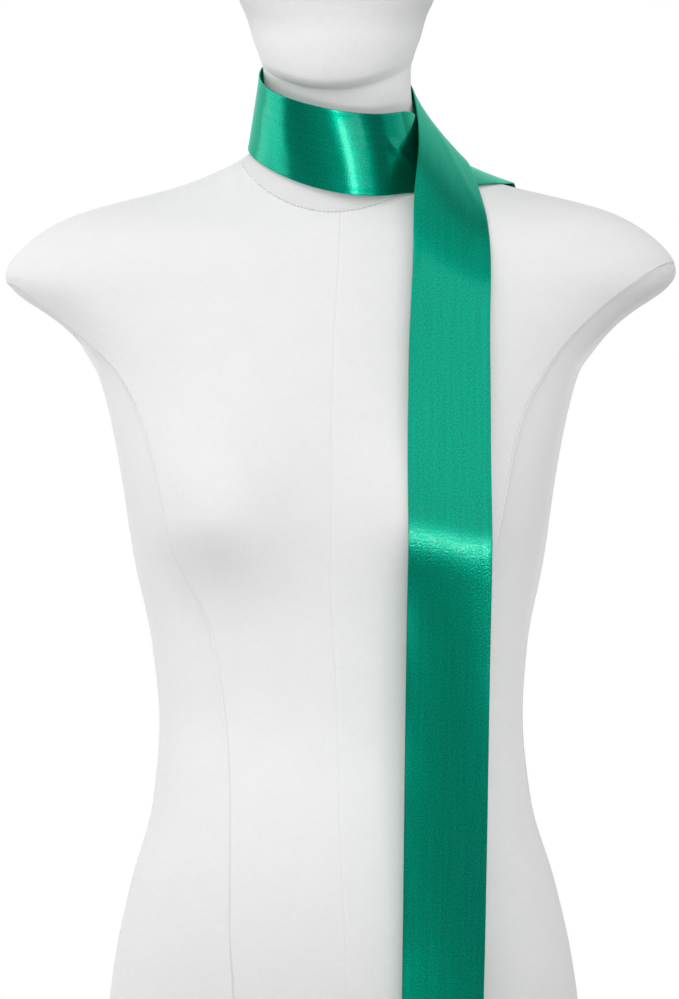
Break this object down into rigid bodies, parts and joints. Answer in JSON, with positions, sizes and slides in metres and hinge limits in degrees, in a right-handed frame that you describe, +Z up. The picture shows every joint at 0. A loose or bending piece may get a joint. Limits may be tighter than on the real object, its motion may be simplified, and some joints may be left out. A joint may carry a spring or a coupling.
{
  "type": "skinny scarf on a dress form",
  "caption": "Long narrow satin scarf wound once round the neck of a limbless linen dress form, one end down the chest and the other over the shoulder.",
  "frame": {"origin": "on the floor, at the centre of the dress form's flat base, on the form's mid-plane", "axes": "+Z up, -Y is where the form's chest and face look, +X is the form's own left, where both ends of the scarf hang"},
  "size_m": [0.466, 0.2615, 0.95],
  "materials": {
    "linen_cover": "matte off-white linen",
    "green_satin": "glossy green satin"
  },
  "bodies": {
    "root": {"form_torso": "linen_cover", "form_head": "linen_cover", "scarf_front_tail": "green_satin", "scarf_nape": "green_satin", "scarf_neck_band": "green_satin", "scarf_back_tail": "green_satin"}
  },
  "joints": []
}
